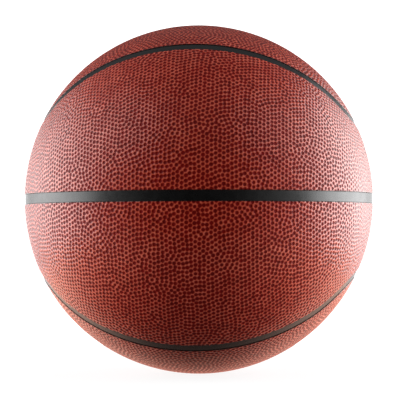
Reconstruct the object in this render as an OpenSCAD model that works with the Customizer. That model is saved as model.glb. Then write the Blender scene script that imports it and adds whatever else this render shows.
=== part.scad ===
// Basketball of composite leather, built in layers.
// From the inside: bladder, wound thread, rubber carcass with raised ribs, eight cover panels.
// A rubber valve passes through all the layers on the far side.
// Millimetres. The origin is the ball's centre, +Z is up and -Y faces the viewer.

/* [Ball] */
// Outside diameter of the ball, over the pebbles of the cover
ball_d = 240; // [170:1:260]
// Thickness of a cover panel
cover_t = 1.6; // [1:0.1:3]
// Thickness of the moulded rubber carcass between its ribs
carcass_t = 1.5; // [0.8:0.1:4]
// Thickness of the layer of wound thread
winding_t = 0.6; // [0.3:0.1:2]
// Thickness of the bladder's wall
bladder_t = 0.9; // [0.5:0.1:2.5]
// Film of cement between two layers, and between a panel's edge and a rib
cement_t = 0.05; // [0.02:0.01:0.1]

/* [Channels] */
// Width of the black channel between two panels
channel_w = 6.6; // [3:0.1:9]
// Depth of the channel's floor below the outside of the cover
channel_depth = 0.5; // [0.2:0.05:0.8]
// Height of a curved channel above the level one on the front and the back, in degrees
loop_front_lat = 55.4; // [50:0.1:57.5]
// Height of a curved channel above the level one at the left and the right end, in degrees
loop_end_lat = 24.8; // [22:0.1:30]
// Radius of the round ends of a curved channel, seen from the centre, in degrees
loop_end_arc = 21.6; // [17:0.1:24]

/* [Valve] */
// Height of the valve above the level channel, seen from the centre, in degrees
valve_lat = 11; // [8:0.5:16]
// Turn of the valve round the ball from the middle of the back, in degrees
valve_turn = 0; // [-20:1:20]
// Diameter of the rubber stem that shows in the cover
stem_d = 8.4; // [7:0.1:11]
// Diameter of the housing's barrel inside the bladder
barrel_d = 12; // [11.5:0.1:15]
// Length of the barrel below the flange
barrel_l = 12; // [10:0.5:20]
// Diameter of the flange that is bonded to the bladder
flange_d = 28; // [22:1:40]
// Thickness of the flange
flange_t = 1.2; // [0.8:0.1:2]
// Depth of the housing's face below the outside of the cover
face_depth = 0.3; // [0.1:0.1:0.6]
// Diameter of the plug's neck, which shows in the middle of the stem
neck_d = 4.6; // [3.6:0.1:5.2]
// Diameter of the plug's head, which locks it in the barrel
head_d = 7.6; // [6.6:0.1:8.4]
// Length of the plug's head
head_l = 9; // [7:0.5:10]
// Gap between the plug and its pocket in the housing
plug_gap = 0.05; // [0.02:0.01:0.1]
// Gap between the stem and the holes in the layers round it
stem_gap = 0.1; // [0.05:0.05:0.2]
// Diameter of the channel for an inflating needle
needle_d = 2; // [1.6:0.1:2.4]
// Depth of that channel from the plug's face
needle_l = 9; // [7:0.5:11]
// Width of the dish round the channel's mouth
dish_d = 3.4; // [2.8:0.1:3.6]
// Depth of that dish
dish_depth = 0.5; // [0.3:0.1:0.8]
// Diameter of the air hole at the barrel's inner end
air_hole_d = 2.6; // [2:0.1:4]

/* [Hidden] */

$fn = 96;

ball_r = ball_d / 2;
cover_in_r = ball_r - cover_t;
rib_r = ball_r - channel_depth;
carcass_r = cover_in_r - cement_t;
carcass_in_r = carcass_r - carcass_t;
winding_r = carcass_in_r - cement_t;
winding_in_r = winding_r - winding_t;
bladder_r = winding_in_r - cement_t;
bladder_in_r = bladder_r - bladder_t;

flange_r = bladder_in_r - cement_t;
flange_in_r = flange_r - flange_t;
barrel_end_r = flange_in_r - barrel_l;
face_r = ball_r - face_depth;
shoulder_r = flange_r;
hole_d = stem_d + 2 * stem_gap;

// How far a cutting shape runs past what it cuts
over = 5;
// Reach of the cones and boxes that cut the ball, past every other cutting shape
cut_r = ball_r + 3 * over;

panel_colour = [0.46, 0.13, 0.10];
rubber_colour = [0.06, 0.06, 0.065];
thread_colour = [0.88, 0.87, 0.82];
butyl_colour = [0.13, 0.13, 0.14];
plug_colour = [0.16, 0.16, 0.17];

// A curved channel is an oval of four arcs on the ball, each cut by a round cone from the centre:
// a wide arc on the front and on the back, and a small arc at the left and at the right end.
// The small arc lies inside the wide one and touches it, which sets the wide arc's angle.
end_rise = loop_end_lat + loop_end_arc;
front_arc = atan(
    (cos(loop_end_arc) - sin(end_rise) * sin(loop_front_lat))
    / (sin(end_rise) * cos(loop_front_lat) - sin(loop_end_arc))
);
front_rise = loop_front_lat + front_arc;
half_channel = channel_w / 2;

// An arc length on the outside of the ball, as an angle at the centre
function as_angle(length) = length / ball_r * 180 / PI;

// The height over +X of the line where a wide arc passes into an end arc, both drawn in by shrink
function join_rise(shrink) =
    let (
        front_centre = [0, -cos(front_rise), sin(front_rise)],
        end_centre = [cos(end_rise), 0, sin(end_rise)],
        join = end_centre * sin(front_arc - shrink) - front_centre * sin(loop_end_arc - shrink)
    )
    atan2(join.z, join.x);

// A round cone from the ball's centre along +Z, with its half angle
module cone(half_angle) {
    cylinder(r1 = 0, r2 = cut_r * tan(half_angle), h = cut_r);
}

// The cone of the front's wide arc, drawn in by shrink
module front_cone(shrink) {
    rotate([90 - front_rise, 0, 0]) cone(front_arc - shrink);
}

// The cone of the end arc at the right, drawn in by shrink
module end_cone(shrink) {
    rotate([0, 90 - end_rise, 0]) cone(loop_end_arc - shrink);
}

// The half of space above the line where the wide arc passes into the right end's arc
module above_join(shrink) {
    rotate([0, -join_rise(shrink), 0])
        translate([-cut_r, -cut_r, 0]) cube([2 * cut_r, 2 * cut_r, cut_r]);
}

module shell(outer_r, inner_r) {
    difference() {
        sphere(r = outer_r);
        sphere(r = inner_r);
    }
}

// The part of a shell above z = gap and in front of y = -gap
module shell_quarter(outer_r, inner_r, gap) {
    intersection() {
        shell(outer_r, inner_r);
        translate([-cut_r, -cut_r, gap]) cube([2 * cut_r, cut_r - gap, cut_r]);
    }
}

// What the right end's arc rounds off the point that the wide arcs would make there
module end_corner(outer_r, inner_r, gap, shrink) {
    difference() {
        shell_quarter(outer_r + over, inner_r - over, gap - over);
        above_join(shrink);
        end_cone(shrink);
    }
}

// What a cap panel fills in a shell, at the front and the top, grown all round by clear
module cap_piece(outer_r, inner_r, clear) {
    gap = half_channel - clear;
    shrink = as_angle(gap);
    difference() {
        difference() {
            intersection() {
                shell_quarter(outer_r, inner_r, gap);
                front_cone(shrink);
            }
            end_corner(outer_r, inner_r, gap, shrink);
        }
        mirror([1, 0, 0]) end_corner(outer_r, inner_r, gap, shrink);
    }
}

// What a side panel fills in a shell, at the front and the top, grown all round by clear
module side_piece(outer_r, inner_r, clear) {
    gap = half_channel - clear;
    shrink = -as_angle(gap);
    difference() {
        difference() {
            difference() {
                shell_quarter(outer_r, inner_r, gap);
                end_cone(shrink);
            }
            mirror([1, 0, 0]) end_cone(shrink);
        }
        intersection() {
            shell_quarter(outer_r + over, inner_r - over, gap - over);
            front_cone(shrink);
            above_join(shrink);
            mirror([1, 0, 0]) above_join(shrink);
        }
    }
}

// Carries a shape built for the front and the top to any quarter by mirrors
module to_quarter(front, top) {
    mirror([0, front ? 0 : 1, 0]) mirror([0, 0, top ? 0 : 1]) children();
}

// A round hole through every layer, on the valve's axis
module valve_hole() {
    on_valve_axis() cylinder(d = hole_d, h = cut_r);
}

// Turns +Z to the valve's axis
module on_valve_axis() {
    rotate([0, 0, valve_turn]) rotate([valve_lat - 90, 0, 0]) children();
}

module cap_panel(front, top) {
    color(panel_colour) to_quarter(front, top) cap_piece(ball_r, cover_in_r, 0);
}

module side_panel(front, top) {
    color(panel_colour) to_quarter(front, top) side_piece(ball_r, cover_in_r, 0);
}

module side_panel_with_valve() {
    color(panel_colour)
    difference() {
        side_panel(front = false, top = true);
        valve_hole();
    }
}

// The carcass is a shell up to the tops of its ribs, less a pocket for each panel
module carcass() {
    pocket_r = rib_r + over;
    color(rubber_colour)
    difference() {
        sphere(r = rib_r);
        for (front = [true, false], top = [true, false]) {
            to_quarter(front, top) cap_piece(pocket_r, carcass_r, cement_t);
            to_quarter(front, top) side_piece(pocket_r, carcass_r, cement_t);
        }
        sphere(r = carcass_in_r);
        valve_hole();
    }
}

module winding() {
    color(thread_colour)
    difference() {
        shell(winding_r, winding_in_r);
        valve_hole();
    }
}

module bladder() {
    color(butyl_colour)
    difference() {
        shell(bladder_r, bladder_in_r);
        valve_hole();
    }
}

// The plug as a solid of revolution: a wide head in the barrel and a neck up to the ball's face
module plug_body(grow) {
    translate([0, 0, shoulder_r - head_l - grow])
        cylinder(d = head_d + 2 * grow, h = head_l + 2 * grow);
    translate([0, 0, shoulder_r - grow])
        cylinder(d = neck_d + 2 * grow, h = cut_r - shoulder_r);
}

module valve_housing() {
    color(rubber_colour)
    on_valve_axis()
    difference() {
        union() {
            intersection() {
                translate([0, 0, barrel_end_r]) cylinder(d = stem_d, h = cut_r);
                sphere(r = face_r);
            }
            intersection() {
                cylinder(d = flange_d, h = cut_r);
                shell(flange_r, flange_in_r);
            }
            intersection() {
                translate([0, 0, barrel_end_r]) cylinder(d = barrel_d, h = cut_r);
                sphere(r = flange_r);
            }
        }
        plug_body(plug_gap);
        cylinder(d = air_hole_d, h = shoulder_r);
    }
}

module valve_plug() {
    color(plug_colour)
    on_valve_axis()
    difference() {
        intersection() {
            plug_body(0);
            sphere(r = face_r);
        }
        translate([0, 0, face_r - needle_l]) cylinder(d = needle_d, h = needle_l + over);
        translate([0, 0, face_r - dish_depth])
            cylinder(d1 = needle_d, d2 = dish_d, h = dish_depth);
    }
}

cap_panel(front = true, top = true);  // cap_panel_top_front
cap_panel(front = false, top = true);  // cap_panel_top_back
cap_panel(front = true, top = false);  // cap_panel_bottom_front
cap_panel(front = false, top = false);  // cap_panel_bottom_back
side_panel(front = true, top = true);  // side_panel_top_front
side_panel_with_valve();  // side_panel_top_back
side_panel(front = true, top = false);  // side_panel_bottom_front
side_panel(front = false, top = false);  // side_panel_bottom_back
carcass();
winding();
bladder();
valve_housing();
valve_plug();
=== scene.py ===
"""Basketball: pebbled leather panels on a rubber carcass whose ribs show as smooth channels, with
a valve, in a plain studio."""

import math

import bpy
import numpy as np
from bpy.props import FloatProperty, FloatVectorProperty, IntProperty, PointerProperty
from mathutils import Matrix, Vector


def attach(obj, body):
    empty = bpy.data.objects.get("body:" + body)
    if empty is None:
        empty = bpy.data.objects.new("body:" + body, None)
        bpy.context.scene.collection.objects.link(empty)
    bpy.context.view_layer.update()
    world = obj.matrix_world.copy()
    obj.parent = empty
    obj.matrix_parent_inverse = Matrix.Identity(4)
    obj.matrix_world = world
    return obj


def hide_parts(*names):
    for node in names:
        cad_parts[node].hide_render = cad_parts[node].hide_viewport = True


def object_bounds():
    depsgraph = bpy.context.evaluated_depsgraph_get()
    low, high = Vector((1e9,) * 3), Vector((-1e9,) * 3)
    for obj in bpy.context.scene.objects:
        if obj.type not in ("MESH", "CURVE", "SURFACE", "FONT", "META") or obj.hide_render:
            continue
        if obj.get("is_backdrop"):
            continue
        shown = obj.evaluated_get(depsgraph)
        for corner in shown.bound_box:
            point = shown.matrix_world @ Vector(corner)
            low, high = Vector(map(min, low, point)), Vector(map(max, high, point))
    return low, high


bl_info = {
    "name": "Basketball",
    "version": (1, 0, 0),
    "blender": (4, 5, 0),
    "location": "3D View > Sidebar > Basketball",
    "description": "Covers a basketball's frame with pebbled panels, smooth channels and a valve",
    "category": "Object",
}

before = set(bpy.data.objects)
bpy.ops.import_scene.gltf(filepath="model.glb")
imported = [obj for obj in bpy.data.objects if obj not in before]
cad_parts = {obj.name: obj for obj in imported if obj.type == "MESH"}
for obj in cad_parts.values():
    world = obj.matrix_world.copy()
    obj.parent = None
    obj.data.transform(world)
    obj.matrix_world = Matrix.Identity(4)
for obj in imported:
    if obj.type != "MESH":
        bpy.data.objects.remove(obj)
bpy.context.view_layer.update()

BODY = "root"
MM = 0.001
IMAGE_SIDE = 400

# Each panel is the same sheet, turned half round an axis: the signs of its x, y and z.
TURNS = {
    "top_front": (1, 1, 1),
    "top_back": (-1, -1, 1),
    "bottom_front": (-1, 1, -1),
    "bottom_back": (1, -1, -1),
}
# Grid lines near a cut edge, measured in from it, so that the rolled edge stays crisp. They draw
# together where a panel is narrower than NARROW.
EDGE_LINES = np.array([0.0, 0.05, 0.17, 0.4, 0.8]) * MM
NARROW = 8 * MM
# The underside of a panel has one line for every eight of the top's.
COARSE = 8
# A side panel's length in ball radii, for the places of its edge lines, and the share of it at
# each end over which the grid bends to the upright channel.
SIDE_LENGTH = 3.0
SIDE_END = 0.08
# How strongly the grid lines of a side and a cap panel draw together in the middle.
SIDE_PULL, CAP_PULL = 0.25, 0.12
# The share of a cap panel's length that is left off at each of its corners.
CAP_BLUNT = 0.0009
# The cells that rings round the valve's hole replace: half their number along the panel, and the
# first and last line up it. Then the number of rings.
BLOCK_HALF, BLOCK_LOW, BLOCK_HIGH = 16, 16, 48
HOLE_RINGS = 18
# Points along the profile of the carcass's shell, round the shell, and along a rib.
SHELL_STEPS, SHELL_SPOKES, RIB_STEPS = 97, 144, 720
# A rib's cross-section: shares of its half width, and of its height at each.
RIB_ACROSS = np.array([-1, -1, -0.995, -0.98, *np.linspace(-0.9, 0.9, 9), 0.98, 0.995, 1, 1])
RIB_HEIGHT = np.array([0, 0.93, 0.99, *[1.0] * 11, 0.99, 0.93, 0])
# How deep a rib's foot sits in the shell, and how far the other ribs lie below the upright one,
# so that no two faces share a place.
RIB_FOOT, RIB_HAIR = 0.3 * MM, 0.01 * MM
# The floor's radius, the points round it and the shares of the radius at which its rings lie.
FLOOR_R, FLOOR_SPOKES = 0.32, 96
FLOOR_RINGS = np.array([0.1, 0.3, 0.6, 0.8, 1.0])
# The rubber of each node that keeps its own mesh: colour, and least and greatest roughness.
RUBBERS = {
    "bladder": ("bladder_skin", (0.012, 0.012, 0.013), 0.45, 0.6),
    "valve_housing": ("valve_skin", (0.01, 0.01, 0.011), 0.4, 0.5),
    "valve_plug": ("plug_skin", (0.02, 0.02, 0.021), 0.45, 0.55),
}
# Each lamp's turn from the camera's side and its rise in degrees, its distance, width and height,
# and the setting and the share of it that give its radiance.
LAMPS = {
    "lamp_left": (-98, 3, 0.95, 1.5, 1.45, "left_light", 1.0),
    "lamp_right": (108, 4, 0.95, 1.4, 1.55, "right_light", 1.0),
    "lamp_fill_left": (-58, 38, 1.1, 1.2, 1.0, "fill_light", 1.0),
    "lamp_fill_right": (62, 38, 1.1, 1.0, 1.0, "fill_light", 0.65),
}


def NumberProperty(name, description, default, **more):
    """A plain number."""
    return FloatProperty(name=name, description=description, default=default, **more)


def LengthProperty(name, description, metres):
    """A length."""
    return NumberProperty(name, description, metres, unit="LENGTH")


def AngleProperty(name, description, degrees):
    """An angle, given here in degrees."""
    return NumberProperty(name, description, math.radians(degrees), subtype="ANGLE")


def ColourProperty(name, place, default):
    """A colour, and where it is seen."""
    return FloatVectorProperty(
        name=name, description="Colour " + place, default=default, size=3, subtype="COLOR"
    )


def CellsProperty(name, place, default):
    """A count of grid cells on the pebbled top, which the underside's coarse grid divides."""
    description = f"Grid cells {place}, a multiple of {COARSE}"
    return IntProperty(name=name, description=description, default=default)


class BallSizes(bpy.types.PropertyGroup):
    """Sizes of the ball's cover, its channels and its carcass."""

    ball_d: LengthProperty("Ball diameter", "Across the panels", 0.24)
    cover_t: LengthProperty("Cover thickness", "Thickness of a panel", 0.0016)
    carcass_t: LengthProperty("Carcass wall", "Wall under the panels", 0.0015)
    cement_t: LengthProperty("Cement gap", "Gap round each panel", 0.00005)
    channel_w: LengthProperty("Channel width", "Width of the smooth channel", 0.0066)
    channel_depth: LengthProperty("Channel depth", "How far it lies below the panels", 0.0005)
    edge_roll: LengthProperty("Edge roll", "How far a panel's edge rolls down", 0.00042)
    edge_round: LengthProperty("Edge round", "Width of the rolled strip along it", 0.0008)
    loop_front_lat: AngleProperty("Loop's top", "Height angle at the front and back", 55.4)
    loop_end_lat: AngleProperty("Loop's ends", "Height angle at the two sides", 24.8)
    loop_end_arc: AngleProperty("Loop's end arc", "Angular radius of the narrow ends", 21.6)
    valve_lat: AngleProperty("Valve height", "Height angle of the valve on the back", 11)
    valve_hole_d: LengthProperty("Valve hole", "Hole in the cover for the valve", 0.0086)


class PebbleSizes(bpy.types.PropertyGroup):
    """Sizes of the pebbled grain and the fineness of its grids."""

    pitch: LengthProperty("Pitch", "Distance from one dimple to the next", 0.00302)
    dimple_r: LengthProperty("Dimple radius", "Radius of a dimple", 0.00124)
    depth: LengthProperty("Depth", "Depth of a dimple below the raised net", 0.00038)
    scatter: NumberProperty(
        "Scatter", "How far a dimple strays from its row, as a share of the pitch", 0.33,
        min=0.0, max=0.6,
    )
    seed: IntProperty(name="Seed", description="Picks the pattern of strays", default=7)
    across: CellsProperty("Cells across", "along a panel", 544)
    up_side: CellsProperty("Cells up a side panel", "up it", 168)
    up_cap: CellsProperty("Cells up a cap panel", "up it", 136)


class BallColours(bpy.types.PropertyGroup):
    """Colours of the leather, the channels, the thread and the floor."""

    leather_net: ColourProperty("Leather, net", "of the raised net", (0.64, 0.068, 0.028))
    # Painted shade: the dimples' colour is darker than the net for the shade that falls in them.
    shaded_dimple_leather: ColourProperty("Leather, dimples", "in the dimples", (0.235, 0.002, 0.0007))
    # Painted highlight: the high spots between three dimples are paler for the light they catch.
    high_spot_highlight: ColourProperty("Leather, high spots", "between three dimples", (0.9, 0.2, 0.12))
    leather_patch: ColourProperty("Leather, patches", "on parts of the net", (0.5, 0.06, 0.018))
    leather_drift: ColourProperty("Leather, drifts", "over parts of the hide", (0.93, 0.72, 0.75))
    # Painted shade: a dark strip along each cut edge, partly channel paint run up the edge and
    # partly the shade where the edge rolls down.
    edge_paint_and_shade: ColourProperty("Leather, edges", "of the darkened edge strip", (0.022, 0.002, 0.001))
    rubber: ColourProperty("Channel rubber", "of the channels", (0.002, 0.002, 0.0022))
    thread: ColourProperty("Thread", "of the wound thread", (0.62, 0.58, 0.48))
    floor: ColourProperty("Floor", "of the floor", (0.14, 0.14, 0.14))
    floor_glow: ColourProperty("Floor's light", "of its light on the ball", (1.0, 0.64, 0.5))


class StudioSettings(bpy.types.PropertyGroup):
    """Camera, lamps and room."""

    camera_distance: LengthProperty("Camera distance", "From the ball's centre", 1.2)
    camera_turn: AngleProperty("Camera turn", "Round the ball", 3.17)
    camera_rise: AngleProperty("Camera rise", "Above the ball's middle", -1.23)
    camera_roll: AngleProperty("Camera roll", "About the view", -0.17)
    ball_px: NumberProperty("Ball's radius", "In pixels of a 400 pixel picture", 174.29)
    centre_px: FloatVectorProperty(
        name="Ball's centre", description="In pixels from the picture's top left", size=2,
        default=(198.80, 199.44),
    )
    left_light: NumberProperty("Left lamp", "Radiance in its middle", 3.7)
    right_light: NumberProperty("Right lamp", "Radiance in its middle", 5.2)
    fill_light: NumberProperty("Fill lamp", "Radiance in its middle", 1.42)
    room: NumberProperty("Room", "Radiance of the dark room", 0.035)
    glow: NumberProperty("Sides", "Radiance of the room's bright sides", 0.75)
    wall: NumberProperty("Wall", "Radiance of the wall behind the ball", 1.6)
    sky: NumberProperty("Sky", "Radiance added overhead", 0.15)


def unit(points):
    """Each point divided by its distance from the ball's centre."""
    return points / np.linalg.norm(points, axis=-1, keepdims=True)


def angle_between(points, direction):
    """Angle at the ball's centre between each point and one direction."""
    return np.arccos(np.clip(points @ direction, -1, 1))


def smooth(low, high, value):
    """Rises from 0 to 1 between low and high as 3t^2 - 2t^3."""
    share = np.clip((value - low) / (high - low), 0, 1)
    return share * share * (3 - 2 * share)


def half_channel(sizes):
    """Angle at the ball's centre between a channel's middle line and its side."""
    return math.asin(sizes.channel_w / sizes.ball_d)


def level_line(turn, rise):
    """Directions at a height angle above the level plane, each at its turn about the z axis."""
    flat = math.cos(rise)
    return np.stack(
        [np.cos(turn) * flat, np.sin(turn) * flat, np.full_like(turn, math.sin(rise))], -1
    )


def upright_line(turn, ahead):
    """Directions at an angle in front of the upright plane, each at its turn about the y axis."""
    return level_line(turn, ahead)[:, [0, 2, 1]] * (1, -1, 1)


def circle(centre, first, side, r, turn):
    """Directions on a circle: centre cos r + sin r (first cos t + side sin t), t the turn."""
    spoke = np.cos(turn)[:, None] * first + np.sin(turn)[:, None] * side
    return centre * math.cos(r) + math.sin(r) * spoke


class Loop:
    """The oval channel round the top, in the quarter with y < 0: a wide arc between two narrow
    end arcs, circles on the sphere that touch where they meet."""

    def __init__(self, sizes):
        front, end, arc = sizes.loop_front_lat, sizes.loop_end_lat, sizes.loop_end_arc
        rise = end + arc
        self.end_r = arc
        # The wide arc's centre lies in the plane x = 0, as far from the front as makes the two
        # circles touch: cos(end centre to wide centre) = cos(wide radius - end radius).
        turn = self._touching(front, rise, arc)
        self.wide_r = turn - front
        self.wide_c = np.array([0, -math.cos(turn), math.sin(turn)])
        self.end_c = np.array([-math.cos(rise), 0, math.sin(rise)])
        top = np.array([0, -math.cos(front), math.sin(front)])
        self.wide_f = unit(top - (top @ self.wide_c) * self.wide_c)
        self.wide_s = np.array([1.0, 0, 0])
        self.end_f = np.array([-math.sin(rise), 0, -math.cos(rise)])
        self.end_s = np.array([0, -1.0, 0])
        away = (self.end_c @ self.wide_c) * self.end_c - self.wide_c
        self.end_join = math.atan2(away @ self.end_s, away @ self.end_f)
        self.wide_join = math.atan2(-(self.end_c @ self.wide_s), self.end_c @ self.wide_f)

    @staticmethod
    def _touching(front, rise, arc):
        """Rise angle of the wide arc's centre, by halving the interval that holds it."""
        low, high = front + math.pi / 4, math.pi
        for _ in range(60):
            middle = (low + high) / 2
            apart = math.acos(math.sin(rise) * math.sin(middle))
            low, high = (middle, high) if apart > middle - front - arc else (low, middle)
        return (low + high) / 2

    def edge(self, shift, inset, share):
        """Points from the -X end to the +X end at equal steps of the edge's length; shift widens
        every circle, and inset is the angle from the plane y = 0 at which the edge starts."""
        wide_r, end_r = self.wide_r + shift, self.end_r + shift
        first = math.asin(math.sin(inset) / math.sin(end_r))
        end_len = math.sin(end_r) * (self.end_join - first)
        wide_len = math.sin(wide_r) * self.wide_join
        along = (2 * share - 1) * (end_len + wide_len)
        b = along / math.sin(wide_r)
        a = self.end_join - (np.abs(along) - wide_len) / math.sin(end_r)
        wide = circle(self.wide_c, self.wide_f, self.wide_s, wide_r, b)
        end = circle(self.end_c, self.end_f, self.end_s, end_r, a)
        end[:, 0] *= -np.sign(along)
        return np.where((np.abs(along) < wide_len)[:, None], wide, end)

    def beyond(self, points):
        """Angle from each point with y < 0 to the loop's line, positive outside the loop."""
        b = np.arctan2(points @ self.wide_s, points @ self.wide_f)
        folded = points.copy()
        folded[..., 0] = -np.abs(folded[..., 0])
        return np.where(
            np.abs(b) < self.wide_join,
            angle_between(points, self.wide_c) - self.wide_r,
            angle_between(folded, self.end_c) - self.end_r,
        )


def spread(length, count):
    """Shares of each length at which count + 1 grid lines lie: the edge lines at both ends, and
    equal steps between them."""
    ease = np.clip(length / NARROW, 0, 1)[:, None]
    left = EDGE_LINES * ease
    inner = np.linspace(0, 1, count - 2 * len(EDGE_LINES) + 3)[1:-1]
    middle = left[:, -1:] + (length[:, None] - 2 * left[:, -1:]) * inner
    right = length[:, None] - left[:, ::-1]
    return np.hstack([left, middle, right]) / length[:, None]


def eased(share, pull):
    """Shares drawn together in the middle: t + pull sin(2 pi t) / (2 pi)."""
    return share + pull * np.sin(2 * np.pi * share) / (2 * np.pi)


def ladder(low, high, r, count):
    """Directions on the great-circle arc from each of low to the same of high, with the grid lines
    of spread along it: (sin((1 - t)w) A + sin(tw) B) / sin w."""
    angle = np.arccos(np.clip((low * high).sum(-1), -1, 1))
    w, t = angle[:, None, None], spread(r * angle, count)[:, :, None]
    return (np.sin((1 - t) * w) * low[:, None] + np.sin(t * w) * high[:, None]) / np.sin(w)


def side_grid(sizes, pebbles, loop):
    """Directions over the side panel with y < 0 and z > 0: arcs from the equator channel's edge
    up to the loop's outer edge, at equal steps along both."""
    r = sizes.ball_d / 2
    inset = half_channel(sizes)
    share = eased(spread(np.array([SIDE_LENGTH * r]), pebbles.across)[0], SIDE_PULL)
    first = math.asin(math.tan(inset))
    low = level_line(first + share * (math.pi - 2 * first), inset) * (-1, -1, 1)
    high = loop.edge(inset, inset, share)
    grid = ladder(low, high, r, pebbles.up_side)
    # The two short edges follow the upright channel, a level cut and not a great circle.
    near = np.clip(1 - np.minimum(share, 1 - share) / SIDE_END, 0, 1) ** 2
    left, right = grid[0, :, 1] + math.sin(inset), grid[-1, :, 1] + math.sin(inset)
    grid[:, :, 1] -= near[:, None] * np.where(share[:, None] < 0.5, left, right)
    return unit(grid)


def cap_grid(sizes, pebbles, loop):
    """Directions over the cap panel with y < 0 and z > 0: arcs from the loop's inner edge to the
    upright channel's edge. The lines start a hair inside the corners, which leaves them blunt."""
    r = sizes.ball_d / 2
    inset = half_channel(sizes)
    share = eased(np.linspace(0, 1, pebbles.across + 1), CAP_PULL)
    share = CAP_BLUNT + (1 - 2 * CAP_BLUNT) * share
    low = loop.edge(-inset, inset, share)
    corner = loop.edge(-inset, inset, np.array([0.0]))[0]
    first = math.atan2(corner[2], -corner[0])
    high = upright_line(first + share * (math.pi - 2 * first), inset) * (-1, 1, 1)
    return unit(ladder(low, high, r, pebbles.up_cap))


class Grain:
    """The dimples' places over the whole ball: rings round a pole, 0.87 of the pitch apart, with as
    many dimples in each ring as fit. Each strays from its place, then all push their neighbours
    away, a little at a time, until they lie evenly with rows that run and break as they do on the
    real cover."""

    ROUNDS = 26
    # The stray for a scatter of one, and the least and greatest size of a dimple.
    STRAY, SIZES = 1.4, (0.9, 1.1)
    # How far a dimple pushes, in pitches, and the share of the push that is taken.
    REACH, PUSH = 1.28, 0.3
    # The rings and places round its own in which a dimple's neighbours lie.
    NEAR = (-2, -1, 0, 1, 2)
    TOUCHING = 1e-9

    def __init__(self, pole, r, pebbles, seed):
        pick = np.random.default_rng(seed)
        self.pole, self.scale = pole, r / pebbles.dimple_r
        self.side = unit(np.cross(pole, [0.3, 0.2, 1.0]))
        self.other = np.cross(pole, self.side)
        pitch = pebbles.pitch / r
        rings = round(np.pi / (pitch * math.sqrt(0.75)))
        self.gap = np.pi / rings
        lat = (np.arange(rings) + 0.5) * self.gap - np.pi / 2
        self.count = np.maximum(np.round(2 * np.pi * np.cos(lat) / pitch).astype(int), 3)
        self.start = pick.random(rings)
        most = self.count.max()
        item = np.arange(most)
        stray = pick.uniform(-1, 1, (rings, most, 2)) * pebbles.scatter * self.STRAY
        seed_lat = lat[:, None] + self.gap * stray[:, :, 0]
        turn = (item + 0.5 + self.start[:, None] + stray[:, :, 1]) / self.count[:, None]
        self.places = self.at(seed_lat, 2 * np.pi * turn)
        self.size = pick.uniform(*self.SIZES, (rings, most))
        self.shade = pick.random((rings, most))
        self.settle(pitch)

    def at(self, lat, lon):
        """Directions at a height angle from the pole's plane and a turn about the pole."""
        flat = np.cos(lat)[..., None]
        return (
            flat * np.cos(lon)[..., None] * self.side
            + flat * np.sin(lon)[..., None] * self.other
            + np.sin(lat)[..., None] * self.pole
        )

    def settle(self, pitch):
        """Moves each dimple by PUSH x (reach - distance) away from every neighbour within reach.
        The two rings at each pole stay in place."""
        reach = self.REACH * pitch
        rings, most = self.size.shape
        row = np.repeat(np.arange(rings)[:, None], most, 1)
        item = np.repeat(np.arange(most)[None], rings, 0)
        spot = item + self.start[:, None]
        for _ in range(self.ROUNDS):
            push = np.zeros_like(self.places)
            for up in self.NEAR:
                near = np.clip(row + up, 0, rings - 1)
                place = (spot + 0.5) * self.count[near] / self.count[row] - self.start[near]
                base = np.floor(place).astype(int)
                for along in self.NEAR:
                    other = np.mod(base + along, self.count[near])
                    apart = self.places - self.places[near, other]
                    away = np.linalg.norm(apart, axis=-1, keepdims=True)
                    live = (away > self.TOUCHING) & (away < reach) & (near == row + up)[..., None]
                    step = apart / np.maximum(away, self.TOUCHING) * (reach - away)
                    push += np.where(live, step, 0)
            push[[0, 1, -2, -1]] = 0
            self.places = unit(self.places + self.PUSH * push)

    def nearest(self, points):
        """How far each point is from its nearest dimple's centre, in that dimple's radii, and
        the dimple's own tone from 0 to 1."""
        lat = np.arcsin(np.clip(points @ self.pole, -1, 1))
        lon = np.arctan2(points @ self.other, points @ self.side) / (2 * np.pi)
        ring = np.floor((lat + np.pi / 2) / self.gap).astype(int)
        nearest = np.full(lat.shape, np.inf)
        tone = np.zeros(lat.shape)
        for up in self.NEAR:
            row = np.clip(ring + up, 0, len(self.count) - 1)
            base = np.floor(lon * self.count[row] - self.start[row]).astype(int)
            for along in self.NEAR:
                item = np.mod(base + along, self.count[row])
                away = np.linalg.norm(points - self.places[row, item], axis=-1) * self.scale
                away = away / self.size[row, item]
                tone = np.where(away < nearest, self.shade[row, item], tone)
                nearest = np.minimum(nearest, away)
        return nearest, tone


def cover_radius(sizes, pebbles, depth_in, away):
    """Distance of the cover's surface from the ball's centre. The raised net lies at the ball's
    radius; a dimple falls away as the cosine of its share of 1.5 radii; and the last part before
    a cut edge rolls over on a quarter of an ellipse."""
    near = 1 - np.clip(depth_in / sizes.edge_round, 0, 1)
    drop = sizes.edge_roll * (1 - np.sqrt(1 - near**2))
    bowl = 0.5 + 0.5 * np.cos(np.pi * np.clip(away / 1.5, 0, 1))
    bowl = bowl * smooth(0.1 * MM, 0.9 * MM, depth_in)
    return sizes.ball_d / 2 - drop - pebbles.depth * bowl


def add_object(name, data):
    """A new object in the scene."""
    thing = bpy.data.objects.new(name, data)
    bpy.context.scene.collection.objects.link(thing)
    return thing


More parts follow.
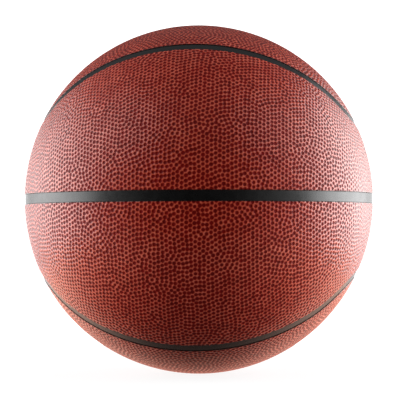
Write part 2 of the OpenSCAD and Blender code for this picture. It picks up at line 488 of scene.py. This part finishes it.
def add_piece(name, points, quads, tris, values=None):
    """One smooth mesh object at the origin from whole arrays of points, quads and triangles."""
    mesh = bpy.data.meshes.new(name)
    mesh.vertices.add(len(points))
    mesh.vertices.foreach_set("co", points.astype(np.float32).ravel())
    corners = np.concatenate([quads.ravel(), tris.ravel()]).astype(np.int32)
    starts = np.concatenate(
        [np.arange(len(quads)) * 4, len(quads) * 4 + np.arange(len(tris)) * 3]
    ).astype(np.int32)
    mesh.loops.add(len(corners))
    mesh.loops.foreach_set("vertex_index", corners)
    mesh.polygons.add(len(starts))
    mesh.polygons.foreach_set("loop_start", starts)
    mesh.polygons.foreach_set("use_smooth", np.ones(len(starts), bool))
    mesh.update(calc_edges=True)
    for key, column in (values or {}).items():
        attribute = mesh.attributes.new(key, "FLOAT", "POINT")
        attribute.data.foreach_set("value", column.astype(np.float32))
    if mesh.validate():
        raise RuntimeError(f"{name} has faces that don't close")
    return add_object(name, mesh)


def grid_quads(index):
    """Quads of a grid of point numbers, facing outwards when both its directions run round."""
    return np.stack([index[:-1, :-1], index[1:, :-1], index[1:, 1:], index[:-1, 1:]], -1)


def facing_in(index):
    """The same quads facing inwards."""
    return grid_quads(index)[:, :, ::-1]


def closed(index):
    """A grid of point numbers with its first row again after its last."""
    return np.vstack([index, index[:1]])


def rim_of(index):
    """The point numbers round a grid, with its inside on the left."""
    return np.concatenate([index[:-1, 0], index[-1, :-1], index[:0:-1, -1], index[0, :0:-1]])


def band(upper, lower):
    """Quads between two closed rims of equal count."""
    return np.stack([upper, lower, np.roll(lower, -1), np.roll(upper, -1)], -1)


def skirt(fine, coarse):
    """Triangles between a closed rim and one with COARSE times fewer points."""
    k = np.arange(len(coarse))
    nxt = np.roll(coarse, -1)
    parts = []
    for i in range(COARSE):
        here, there = fine[COARSE * k + i], fine[(COARSE * k + i + 1) % len(fine)]
        parts.append(np.stack([here, coarse if i < COARSE // 2 else nxt, there], -1))
    parts.append(np.stack([fine[COARSE * k + COARSE // 2], coarse, nxt], -1))
    return np.concatenate(parts)


class Sheet:
    """Gathers the points and faces of one panel. Each point also carries how far it is from its
    dimple's centre, the dimple's tone, and its distance in from the cut edge in millimetres."""

    def __init__(self):
        self.points, self.quads, self.tris = [], [], []
        self.values = {"dimple": [], "tone": [], "rim": []}
        self.count = 0

    def add(self, directions, radius, away=2.4, tone=0.5, depth_in=0.0):
        """Adds directions x radius and returns their numbers in the same layout. Away from the
        pebbled top all points lie on the raised net, at a middle tone."""
        radius = np.broadcast_to(radius, directions.shape[:-1])
        self.points.append((directions * radius[..., None]).reshape(-1, 3))
        for key, value in (("dimple", away), ("tone", tone), ("rim", depth_in / MM)):
            self.values[key].append(np.broadcast_to(value, radius.shape).ravel())
        index = self.count + np.arange(radius.size).reshape(radius.shape)
        self.count += radius.size
        return index

    def wall(self, directions, rim, coarse, low):
        """A wall down from a rim to the underside's rim."""
        lower = self.add(directions, low)
        self.quads.append(band(rim, lower))
        self.tris.append(skirt(lower, coarse))

    def piece(self, name, signs):
        """The panel's mesh object, turned to its place by the signs of x, y and z."""
        points = np.concatenate(self.points) * signs
        quads = np.concatenate([q.reshape(-1, 4) for q in self.quads])
        values = {key: np.concatenate(parts) for key, parts in self.values.items()}
        return add_piece(name, points, quads, np.concatenate(self.tris), values)


def without(cells, block):
    """The cells of a grid that lie outside a block of them."""
    i0, i1, j0, j1 = block
    keep = np.ones(cells.shape[:2], bool)
    keep[i0:i1, j0:j1] = False
    return cells[keep]


def cut_hole(sheet, top, grid, index, coarse, hole, r, under, low):
    """Fills the block of cells round a hole with rings that run from the hole to the block's
    border, on the pebbled top and on the underside, and adds the hole's wall."""
    axis, hole_r, (i0, i1, j0, j1) = hole
    block = rim_of(index[i0 : i1 + 1, j0 : j1 + 1])
    around = grid.reshape(-1, 3)[block]
    outward = unit(around - (around @ axis)[:, None] * axis)
    reach = angle_between(around, axis)
    near = EDGE_LINES / r
    plain = np.linspace(0, 1, HOLE_RINGS - len(near) + 2)[1:-1]
    rest = near[-1] + (reach[:, None] - hole_r - near[-1]) * plain
    away = np.hstack([np.broadcast_to(near, (len(block), len(near))), rest])
    turned = hole_r + away[:, :, None]
    rings = axis * np.cos(turned) + outward[:, None] * np.sin(turned)
    ring_index = np.hstack([top(unit(rings)), block[:, None]])
    for k in range(ring_index.shape[1] - 1):
        sheet.quads.append(band(ring_index[:, k], ring_index[:, k + 1]))
    coarse_ring = sheet.add(rings[::COARSE, 0], under)
    c0, c1, d0, d1 = (n // COARSE for n in (i0, i1, j0, j1))
    coarse_block = rim_of(coarse[c0 : c1 + 1, d0 : d1 + 1])
    sheet.quads.append(band(coarse_ring, coarse_block)[:, ::-1])
    back = np.roll(np.arange(len(block))[::-1], 1)
    coarse_back = np.roll(np.arange(len(coarse_ring))[::-1], 1)
    sheet.wall(rings[back, 0], ring_index[back, 0], coarse_ring[coarse_back], low)


def build_panel(name, turn, grid, edge, grain, sizes, pebbles, hole=None):
    """One panel as a closed sheet: the pebbled top, walls round it and a plain underside. edge
    gives how far a direction lies inside the panel's cut edges. hole is (axis, radius, block),
    where block gives the cells that the rings round the hole replace."""
    r = sizes.ball_d / 2
    under = r - sizes.cover_t
    low = under + 0.5 * (r - sizes.edge_roll - under)
    sheet = Sheet()

    def top(directions):
        away, tone = grain.nearest(directions * TURNS[turn])
        depth_in = edge(directions)
        if hole:
            depth_in = np.minimum(depth_in, r * (angle_between(directions, hole[0]) - hole[1]))
        radius = cover_radius(sizes, pebbles, depth_in, away)
        return sheet.add(directions, radius, away, tone, depth_in)

    index = top(grid)
    coarse = sheet.add(grid[::COARSE, ::COARSE], under)
    cells, coarse_cells = grid_quads(index), facing_in(coarse)
    if hole:
        cut_hole(sheet, top, grid, index, coarse, hole, r, under, low)
        cells = without(cells, hole[2])
        coarse_cells = without(coarse_cells, [n // COARSE for n in hole[2]])
    sheet.quads += [cells, coarse_cells]
    rim = rim_of(index)
    sheet.wall(grid.reshape(-1, 3)[rim], rim, rim_of(coarse), low)
    return sheet.piece(name, TURNS[turn])


def shell_mesh(outer, inner, hole, axis):
    """The carcass's wall as points, quads and triangles: a profile out along the outer sphere and
    back along the inner one, turned about the valve's axis, which leaves the hole open. At the
    far side the profile meets the axis, so both rings there are one point each."""
    first = math.asin(hole / outer)
    out = first + np.linspace(0, 1, SHELL_STEPS) * (math.pi - first)
    tilt = np.concatenate([out, out[::-1]])
    size = np.repeat([outer, inner], SHELL_STEPS)
    turn = np.linspace(0, 2 * np.pi, SHELL_SPOKES, endpoint=False)
    right = np.array([1.0, 0, 0])
    spoke = np.cos(turn)[:, None] * right + np.sin(turn)[:, None] * np.cross(axis, right)
    ring = np.cos(tilt)[None, :, None] * axis + np.sin(tilt)[None, :, None] * spoke[:, None]
    cells = np.delete(ring * size[None, :, None], [SHELL_STEPS - 1, SHELL_STEPS], 1)
    index = closed(np.arange(cells.shape[0] * cells.shape[1]).reshape(cells.shape[:2]))
    outside, inside = index[:, : SHELL_STEPS - 1], index[:, SHELL_STEPS - 1 :]
    mouth = np.stack([inside[:, -1], outside[:, 0]], 1)
    quads = [facing_in(part).reshape(-1, 4) for part in (outside, inside, mouth)]
    points = np.vstack([cells.reshape(-1, 3), -axis * outer, -axis * inner])
    far_out, far_in = (np.full(SHELL_SPOKES, len(points) - n) for n in (2, 1))
    last, start = outside[:, -1], inside[:, 0]
    tips = [(last[1:], last[:-1], far_out), (start[:-1], start[1:], far_in)]
    return points, quads, np.concatenate([np.stack(corners, -1) for corners in tips])


def rib_grids(sizes, loop, outer):
    """The four ribs, each as a grid of points: one cross-section, as wide as the channel, that is
    carried round the line in the channel's middle."""
    half = sizes.channel_w / 2 - sizes.cement_t
    across = RIB_ACROSS * half / (sizes.ball_d / 2)
    low, top = outer - RIB_FOOT, sizes.ball_d / 2 - sizes.channel_depth
    around = 2 * np.pi * np.linspace(0, 1, RIB_STEPS + 1)[:-1]

    def top_loop(shift):
        front = loop.edge(shift, 0, np.linspace(0, 1, RIB_STEPS // 2 + 1)[:-1])
        return np.concatenate([front, front * (-1, -1, 1)])

    lines = (
        (lambda shift: upright_line(around, shift), 1, top),
        (lambda shift: level_line(around, shift), 1, top - RIB_HAIR),
        (top_loop, -1, top - RIB_HAIR),
        (lambda shift: top_loop(shift) * (-1, 1, -1), -1, top - RIB_HAIR),
    )
    for line, side, high in lines:
        heights = low + RIB_HEIGHT * (high - low)
        yield np.stack([line(side * w) * h for w, h in zip(across, heights)], 1)


class Wiring:
    """A node tree that is filled one node at a time."""

    def __init__(self, tree):
        self.nodes, self.links = tree.nodes, tree.links

    def feed(self, socket, value):
        """Gives an input an output, a number, a vector or a colour."""
        if isinstance(value, bpy.types.NodeSocket):
            self.links.new(value, socket)
        else:
            socket.default_value = (*value, 1.0) if socket.type == "RGBA" else value

    def fill(self, node, *values, **named):
        """Feeds a node's inputs in their order, or by name with _ for a space."""
        for socket, value in zip(node.inputs, values):
            self.feed(socket, value)
        for key, value in named.items():
            if value is not None:
                self.feed(node.inputs[key.replace("_", " ")], value)

    def new(self, kind, *values, output=0, fields=(), **named):
        """One output of a new node, with its fields set and its inputs fed."""
        node = self.nodes.new("ShaderNode" + kind)
        for key, value in fields:
            setattr(node, key, value)
        self.fill(node, *values, **named)
        return node.outputs[output]

    def ramp(self, value, low, high, to_low=0.0, to_high=1.0):
        """Goes smoothly from to_low to to_high as the value goes from low to high."""
        fields = [("interpolation_type", "SMOOTHSTEP")]
        return self.new("MapRange", value, low, high, to_low, to_high, fields=fields)

    def math(self, operation, a, b=0.0):
        """The result of one operation on one or two values."""
        return self.new("Math", a, b, fields=[("operation", operation)])

    def times(self, a, b):
        """a x b."""
        return self.math("MULTIPLY", a, b)

    def less(self, value):
        """1 - value."""
        return self.math("SUBTRACT", 1.0, value)

    def mix(self, share, a, b, blend="MIX"):
        """Colour a with a share of colour b blended in."""
        node = self.nodes.new("ShaderNodeMix")
        node.data_type = "RGBA"
        node.blend_type = blend
        names = {s.identifier: s for s in (*node.inputs, *node.outputs)}
        for key, value in (("Factor_Float", share), ("A_Color", a), ("B_Color", b)):
            self.feed(names[key], value)
        return names["Result_Color"]

    def parts(self, vector):
        """The X, Y and Z of a vector."""
        return self.new("SeparateXYZ", vector).node.outputs

    def seen(self):
        """1 where the camera looks, also through something clear, and 0 for all other light."""
        path = self.nodes.new("ShaderNodeLightPath").outputs
        return self.math("MAXIMUM", path["Is Camera Ray"], path["Is Transmission Ray"])


class Finish(Wiring):
    """A material with nodes that follow the object's own coordinates."""

    def __init__(self, name):
        self.material = bpy.data.materials.new(name)
        self.material.use_nodes = True
        super().__init__(self.material.node_tree)
        self.shader = self.nodes["Principled BSDF"]
        self.place = self.new("TexCoord", output="Object")

    def set(self, **values):
        """Feeds the shader's own inputs."""
        self.fill(self.shader, **values)

    def noise(self, scale, detail, rough=0.5):
        """Smooth random values from 0 to 1, scale of them to the metre."""
        values = {"Vector": self.place, "Scale": scale, "Detail": detail, "Roughness": rough}
        return self.new("TexNoise", output="Fac", **values)

    def attribute(self, name):
        """A value that the mesh's points carry."""
        return self.new("Attribute", output="Fac", fields=[("attribute_name", name)])

    def bump(self, height, strength, distance, under=None):
        """The normal of a surface raised by the height x distance, on top of another normal."""
        values = {"Strength": strength, "Distance": distance, "Height": height, "Normal": under}
        return self.new("Bump", **values)

    def finish(self, colour, rough, normal):
        """The material, with its colour, roughness and normal set."""
        self.set(Base_Color=colour, Roughness=rough, Normal=normal)
        return self.material


def leather(name, colours):
    """Pebbled leather: dimples darker than the lighter raised net by painted shade, and a painted
    highlight where three dimples leave a high spot, with drifts of tone over the hide, a fine grain
    on the net and a dark strip along the cut edges that is partly channel paint run up the edge and
    partly painted shade where the edge rolls down. The lacquer's gloss lies on the net and hardly
    reaches the dimples, and evens out where the surface is seen at a slant."""
    f = Finish(name)
    away, tone = f.attribute("dimple"), f.attribute("tone")
    # Dark edge strip: partly channel paint run up the edge, partly painted shade where the edge
    # rolls down to the channel.
    edge_paint_and_shade = f.ramp(f.attribute("rim"), 0.15, 0.75, 1.0, 0.0)
    net = f.ramp(away, 0.84, 1.1)
    # Painted highlight on the high spots between three dimples.
    high = f.ramp(away, 1.1, 1.4)
    drift = f.ramp(f.noise(38, 3), 0.35, 0.65)
    patch = f.ramp(f.noise(170, 2), 0.3, 0.7)
    # Painted shade in the dimples, with a random tone for each dimple.
    shaded_hollow = f.mix(tone, colours.shaded_dimple_leather, [c * 0.7 for c in colours.shaded_dimple_leather])
    ridge = f.mix(f.times(high, 0.8), colours.leather_net, colours.high_spot_highlight)
    colour = f.mix(net, shaded_hollow, ridge)
    patch = f.times(f.times(patch, net), 0.25)
    colour = f.mix(patch, colour, colours.leather_patch)
    colour = f.mix(f.times(drift, 0.3), colour, colours.leather_drift, "MULTIPLY")
    colour = f.mix(edge_paint_and_shade, colour, colours.edge_paint_and_shade)
    grain = f.noise(2600, 3, 0.6)
    rough = f.math("ADD", f.ramp(net, 0, 1, 0.45, 0.35), f.ramp(grain, 0.3, 0.7, -0.03, 0.04))
    normal = f.bump(f.ramp(away, 0.6, 1.25), 0.6, 0.2 * MM)
    normal = f.bump(grain, 0.2, 0.01 * MM, normal)
    slant = f.ramp(f.new("LayerWeight", output="Facing"), 0.35, 0.7)
    lacquer = f.times(f.ramp(away, 0.7, 1.2, 0.05, 1.0), f.less(slant))
    lacquer = f.math("ADD", lacquer, f.times(slant, 0.85))
    f.set(Coat_Weight=lacquer, Specular_IOR_Level=0.12, Coat_Roughness=0.24, Coat_IOR=1.62)
    return f.finish(colour, rough, normal)


def rubber(name, colour, low, high, gloss=0.5):
    """Smooth moulded rubber with faint cloudy shine and a very fine skin."""
    f = Finish(name)
    cloud = f.ramp(f.noise(60, 4), 0.3, 0.7)
    tint = f.mix(cloud, colour, [c * 1.5 for c in colour])
    rough = f.ramp(f.noise(220, 4, 0.6), 0.3, 0.7, low, high)
    normal = f.bump(f.noise(300, 3), 0.2, 0.006 * MM)
    f.set(Specular_IOR_Level=gloss)
    return f.finish(tint, rough, normal)


def wound_thread(name, colours):
    """Flat-wound thread: crossing bands of fine strands in a pale cement, with painted shade that
    darkens the grooves between the strands.
    """
    f = Finish(name)
    height = 0.0
    for turn in ((0, 0, 0.4), (0.9, 0.3, 0), (0.2, 1.0, 0.7)):
        place = f.new("Mapping", Vector=f.place, Rotation=turn)
        strand = f.new("TexWave", output="Fac", Vector=place, Scale=420, Distortion=0.6)
        height = f.math("MAXIMUM", height, strand)
    # Painted shade: darker where the strands dip, in the grooves between them.
    colour = f.mix(height, [c * 0.55 for c in colours.thread], colours.thread)
    return f.finish(colour, 0.75, f.bump(height, 0.8, 0.3 * MM))


class Step:
    """An operator that builds one part of the scene"""

    def execute(self, context):
        self.build(context.scene)
        return {"FINISHED"}


class BASKETBALL_OT_side_panels(Step, bpy.types.Operator):
    """Builds the four side panels between the equator and the two loops"""

    bl_idname = "basketball.side_panels"
    bl_label = "Side panels"

    def build(self, scene):
        sizes, pebbles = scene.ball_sizes, scene.pebble_sizes
        r, inset, loop = sizes.ball_d / 2, half_channel(sizes), Loop(sizes)
        grid = side_grid(sizes, pebbles, loop)

        def edge(points):
            level = np.arcsin(np.clip(points[..., 2], -1, 1)) - inset
            upright = np.arcsin(np.clip(-points[..., 1], -1, 1)) - inset
            return r * np.minimum(np.minimum(level, upright), loop.beyond(points) - inset)

        valve = np.array([0, -math.cos(sizes.valve_lat), math.sin(sizes.valve_lat)])
        middle = pebbles.across // 2
        block = (middle - BLOCK_HALF, middle + BLOCK_HALF, BLOCK_LOW, BLOCK_HIGH)
        pole = np.array([1.0, 0, 0])
        grains = [Grain(pole, r, pebbles, pebbles.seed + n) for n in (0, 1)]
        add_panels(scene, "side", grid, edge, grains, (valve, sizes.valve_hole_d / 2 / r, block))


class BASKETBALL_OT_cap_panels(Step, bpy.types.Operator):
    """Builds the four cap panels inside the two loops"""

    bl_idname = "basketball.cap_panels"
    bl_label = "Cap panels"

    def build(self, scene):
        sizes, pebbles = scene.ball_sizes, scene.pebble_sizes
        r, inset, loop = sizes.ball_d / 2, half_channel(sizes), Loop(sizes)
        grid = cap_grid(sizes, pebbles, loop)

        def edge(points):
            upright = np.arcsin(np.clip(-points[..., 1], -1, 1)) - inset
            return r * np.minimum(upright, -loop.beyond(points) - inset)

        grain = Grain(np.array([0, 1.0, 0]), r, pebbles, pebbles.seed + 2)
        add_panels(scene, "cap", grid, edge, [grain, grain])


class BASKETBALL_OT_carcass(Step, bpy.types.Operator):
    """Builds the rubber carcass with the ribs that form the channels"""

    bl_idname = "basketball.carcass"
    bl_label = "Carcass and channels"

    def build(self, scene):
        sizes = scene.ball_sizes
        outer = sizes.ball_d / 2 - sizes.cover_t - sizes.cement_t
        axis = np.array([0, math.cos(sizes.valve_lat), math.sin(sizes.valve_lat)])
        inner = outer - sizes.carcass_t
        points, quads, tips = shell_mesh(outer, inner, sizes.valve_hole_d / 2, axis)
        for grid in rib_grids(sizes, Loop(sizes), outer):
            index = len(points) + np.arange(grid[..., 0].size).reshape(grid.shape[:2])
            quads.append(grid_quads(closed(closed(index).T).T).reshape(-1, 4))
            points = np.vstack([points, grid.reshape(-1, 3)])
        piece = add_piece("channel_carcass", points, np.concatenate(quads), tips)
        colour = list(scene.ball_colours.rubber)
        finish = material_of(rubber, "moulded_channel", colour, 0.24, 0.32, 0.7)
        place_piece(piece, finish, "carcass")


class BASKETBALL_OT_inner_layers(Step, bpy.types.Operator):
    """Finishes the thread winding and the bladder"""

    bl_idname = "basketball.inner_layers"
    bl_label = "Winding and bladder"

    def build(self, scene):
        thread = material_of(wound_thread, "flat_wound_thread", scene.ball_colours)
        finish_node("winding", thread)
        finish_rubber("bladder")


class BASKETBALL_OT_valve(Step, bpy.types.Operator):
    """Finishes the valve's housing and its plug"""

    bl_idname = "basketball.valve"
    bl_label = "Valve"

    def build(self, scene):
        finish_rubber("valve_housing")
        finish_rubber("valve_plug")


class BASKETBALL_OT_studio(Step, bpy.types.Operator):
    """Sets the floor, the lamps, the room and the camera"""

    bl_idname = "basketball.studio"
    bl_label = "Studio"

    def build(self, scene):
        settings = scene.studio_settings
        scene.view_settings.view_transform = "Standard"
        make_floor(scene.ball_colours)
        make_room(scene, settings)
        for name, (*place, key, share) in LAMPS.items():
            make_lamp(name, *place, share * getattr(settings, key))
        make_camera(scene, settings, scene.ball_sizes.ball_d / 2)


class BASKETBALL_PT_panel(bpy.types.Panel):
    """Lists the ball's pieces and the values they are made from"""

    bl_label = "Basketball"
    bl_space_type = "VIEW_3D"
    bl_region_type = "UI"
    bl_category = "Basketball"

    def draw(self, context):
        layout = self.layout
        for operator in OPERATORS:
            layout.operator(operator.bl_idname)
        for group, kind in GROUPS.items():
            box = layout.box()
            for key in kind.__annotations__:
                box.prop(getattr(context.scene, group), key)


def material_of(make, name, *values):
    """The material of that name, made the first time it is asked for."""
    return bpy.data.materials.get(name) or make(name, *values)


def place_piece(piece, finish, node):
    """Gives a new piece its material and its body, and hides the node it stands for."""
    piece.data.materials.append(finish)
    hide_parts(node)
    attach(piece, BODY)


def add_panels(scene, kind, grid, edge, grains, hole=None):
    """The four panels of one kind: one grain for those at the top and one for those at the bottom,
    and the hole in the back one at the top."""
    sizes, pebbles = scene.ball_sizes, scene.pebble_sizes
    finish = material_of(leather, "pebbled_leather", scene.ball_colours)
    for turn in TURNS:
        name, grain = f"{kind}_leather_{turn}", grains[turn.startswith("bottom")]
        cut = hole if turn == "top_back" else None
        piece = build_panel(name, turn, grid, edge, grain, sizes, pebbles, cut)
        place_piece(piece, finish, f"{kind}_panel_{turn}")


def finish_node(node, finish):
    """Gives a node of the frame its material."""
    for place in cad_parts[node].material_slots:
        place.material = finish


def finish_rubber(node):
    """Gives a node of the frame its plain rubber."""
    finish_node(node, material_of(rubber, *RUBBERS[node]))


def toward(turn, rise):
    """Direction at a turn round the ball from its front, and a rise above its middle."""
    flat = math.cos(rise)
    return Vector((math.sin(turn) * flat, -math.cos(turn) * flat, math.sin(rise)))


def make_lamp(name, turn, rise, gap, wide, tall, level):
    """A soft lamp that faces the ball. Its radiance is the level in the middle and fades to
    nothing at the edges as 4u(1 - u) x 4v(1 - v)."""
    place = toward(math.radians(turn), math.radians(rise))
    data = bpy.data.lights.new(name, "AREA")
    data.shape = "RECTANGLE"
    data.size, data.size_y = wide, tall
    data.energy = level * math.pi * wide * tall
    data.use_nodes = True
    w = Wiring(data.node_tree)
    across = w.parts(w.new("NewGeometry", output="Parametric"))
    fade = 4.0 * 4.0
    for u in (across["X"], across["Y"]):
        fade = w.times(w.times(u, w.less(u)), fade)
    w.fill(w.nodes["Emission"], Strength=fade)
    lamp = add_object(name, data)
    lamp.location = place * gap
    lamp.rotation_euler = (-place).to_track_quat("-Z", "Y").to_euler()


def make_floor(colours):
    """A round table top under the ball, seen as white but still holding the ball's shadow. Its
    light on the ball grows to the sides as the square of x, and is less in front than behind."""
    turn = np.linspace(0, 2 * np.pi, FLOOR_SPOKES, endpoint=False)[:, None]
    rings = FLOOR_RINGS * FLOOR_R
    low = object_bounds()[0].z
    cells = np.stack(
        [np.cos(turn) * rings, np.sin(turn) * rings, np.full((FLOOR_SPOKES, len(rings)), low)], -1
    )
    ring = closed(1 + np.arange(FLOOR_SPOKES * len(rings)).reshape(FLOOR_SPOKES, -1))
    tips = np.stack([ring[:-1, 0], ring[1:, 0], np.zeros(FLOOR_SPOKES, int)], -1)
    points = np.vstack([[[0, 0, low]], cells.reshape(-1, 3)])
    floor = add_piece("floor", points, facing_in(ring).reshape(-1, 4), tips)
    f = Finish("floor_white")
    f.set(Base_Color=colours.floor, Roughness=0.9, Specular_IOR_Level=0.1)
    seen, place = f.seen(), f.parts(f.place)
    span = f.new("VectorMath", f.place, output="Value", fields=[("operation", "LENGTH")])
    level = f.ramp(span, 0.12, FLOOR_R * 0.98, 0.9, 1.0)
    wide = f.times(f.math("POWER", f.math("ABSOLUTE", place["X"]), 2.0), 30.0)
    behind = f.ramp(place["Y"], -0.07, 0.0, 0.05, 0.9)
    shine = f.math("ADD", f.math("MINIMUM", wide, 1.2), behind)
    unseen = f.times(f.less(seen), shine)
    strength = f.math("ADD", f.times(seen, level), unseen)
    glow = f.new("Emission", f.mix(seen, colours.floor_glow, (1, 1, 1)), strength)
    both = f.new("AddShader", f.shader.outputs["BSDF"], glow)
    below, clear = f.new("NewGeometry", output="Backfacing"), f.new("BsdfTransparent")
    f.fill(f.nodes["Material Output"], f.new("MixShader", below, both, clear))
    floor.data.materials.append(f.material)
    floor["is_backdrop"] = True


def make_room(scene, settings):
    """White where the camera looks; for the light on the ball a dark room whose sides grow bright
    toward the lamps as the fourth power of x, with a dim sky and a pale low wall behind."""
    world = bpy.data.worlds.new("room")
    scene.world = world
    world.use_nodes = True
    world.cycles.sampling_method = "NONE"
    w = Wiring(world.node_tree)
    view = w.parts(w.new("TexCoord", output="Generated"))
    side = w.math("POWER", w.math("ABSOLUTE", view["X"]), 4.0)
    level = w.math("ADD", w.times(side, settings.glow), settings.room)
    level = w.math("ADD", level, w.ramp(view["Z"], 0.2, 0.8, 0.0, settings.sky))
    flat = w.ramp(w.math("ABSOLUTE", view["Z"]), 0.1, 0.35, 1.0, 0.0)
    wall = w.times(w.ramp(view["Y"], 0.6, 0.92, 0.0, settings.wall), flat)
    level = w.math("MAXIMUM", w.math("ADD", level, wall), w.seen())
    w.fill(w.nodes["Background"], Color=(1, 1, 1), Strength=level)


def make_camera(scene, settings, r):
    """A long lens that sees the ball at the photograph's size, place, turn and roll. The focal
    length in pixels is the ball's radius in pixels x sqrt((distance / radius)^2 - 1)."""
    turn, roll = settings.camera_turn, settings.camera_roll
    back = toward(turn, settings.camera_rise)
    right = Vector((math.cos(turn), math.sin(turn), 0))
    up = back.cross(right)
    x = math.cos(roll) * right + math.sin(roll) * up
    y = math.cos(roll) * up - math.sin(roll) * right
    focal = settings.ball_px * math.sqrt((settings.camera_distance / r) ** 2 - 1)
    data = bpy.data.cameras.new("camera")
    data.sensor_width = 36
    data.lens = focal * data.sensor_width / IMAGE_SIDE
    data.shift_x = (IMAGE_SIDE / 2 - settings.centre_px[0]) / IMAGE_SIDE
    data.shift_y = (settings.centre_px[1] - IMAGE_SIDE / 2) / IMAGE_SIDE
    camera = scene.camera = add_object("camera", data)
    facing = Matrix((x, y, back)).transposed().to_4x4()
    camera.matrix_world = Matrix.Translation(back * settings.camera_distance) @ facing


GROUPS = {
    "ball_sizes": BallSizes,
    "pebble_sizes": PebbleSizes,
    "ball_colours": BallColours,
    "studio_settings": StudioSettings,
}
OPERATORS = (
    BASKETBALL_OT_carcass,
    BASKETBALL_OT_side_panels,
    BASKETBALL_OT_cap_panels,
    BASKETBALL_OT_inner_layers,
    BASKETBALL_OT_valve,
    BASKETBALL_OT_studio,
)


def register():
    """Adds the groups of values, the operators and the panel."""
    for kind in (*GROUPS.values(), *OPERATORS, BASKETBALL_PT_panel):
        bpy.utils.register_class(kind)
    for key, kind in GROUPS.items():
        setattr(bpy.types.Scene, key, PointerProperty(type=kind))


def unregister():
    """Takes them away again."""
    for key in GROUPS:
        delattr(bpy.types.Scene, key)
    for kind in (BASKETBALL_PT_panel, *reversed(OPERATORS), *reversed(GROUPS.values())):
        bpy.utils.unregister_class(kind)


def main():
    """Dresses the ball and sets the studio."""
    register()
    for operator in OPERATORS:
        getattr(bpy.ops.basketball, operator.bl_idname.split(".")[1])()


if __name__ == "__main__":
    main()
